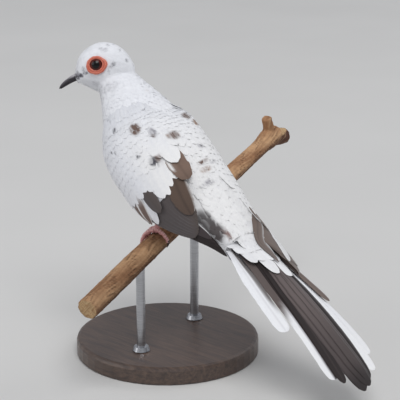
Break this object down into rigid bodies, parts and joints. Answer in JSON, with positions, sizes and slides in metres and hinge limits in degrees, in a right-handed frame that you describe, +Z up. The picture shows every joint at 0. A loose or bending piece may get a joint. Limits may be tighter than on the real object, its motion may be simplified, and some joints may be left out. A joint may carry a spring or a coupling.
{
  "type": "perched bird figure",
  "caption": "Life-size small long-tailed dove with white and grey-brown plumage, gripping a cut branch held by a round display stand.",
  "frame": {"origin": "centre of the underside of the stand's base", "axes": "+Z up; the bird faces -X, and its left side faces -Y"},
  "size_m": [0.1637, 0.1812, 0.1403],
  "materials": {
    "white_plumage": "soft matt white feathers",
    "wing_plumage": "white and dark grey-brown feathers, satin",
    "tail_plumage": "dark grey-brown feathers with white outer ones, satin",
    "bill_horn": "dark grey horn, low sheen",
    "eye_gloss": "wet gloss, near black with a dark red iris",
    "orbital_skin": "bare orange-red skin, bumpy",
    "leg_skin": "pink scaled skin",
    "bark": "matt bark, wrinkled lengthwise",
    "stand_wood": "dark satin wood",
    "stand_steel": "brushed"
  },
  "bodies": {
    "root": {"torso": "white_plumage", "neck": "white_plumage", "head": "white_plumage", "thigh_left": "white_plumage", "thigh_right": "white_plumage", "wing_left": "wing_plumage", "wing_right": "wing_plumage", "tail": "tail_plumage", "bill_upper": "bill_horn", "bill_lower": "bill_horn", "eye_left": "eye_gloss", "eye_right": "eye_gloss", "eye_ring_left": "orbital_skin", "eye_ring_right": "orbital_skin", "leg_left": "leg_skin", "leg_right": "leg_skin", "foot_left": "leg_skin", "foot_right": "leg_skin", "perch": "bark", "stand_base": "stand_wood", "stand_rod_1": "stand_steel", "stand_rod_2": "stand_steel"}
  },
  "joints": []
}
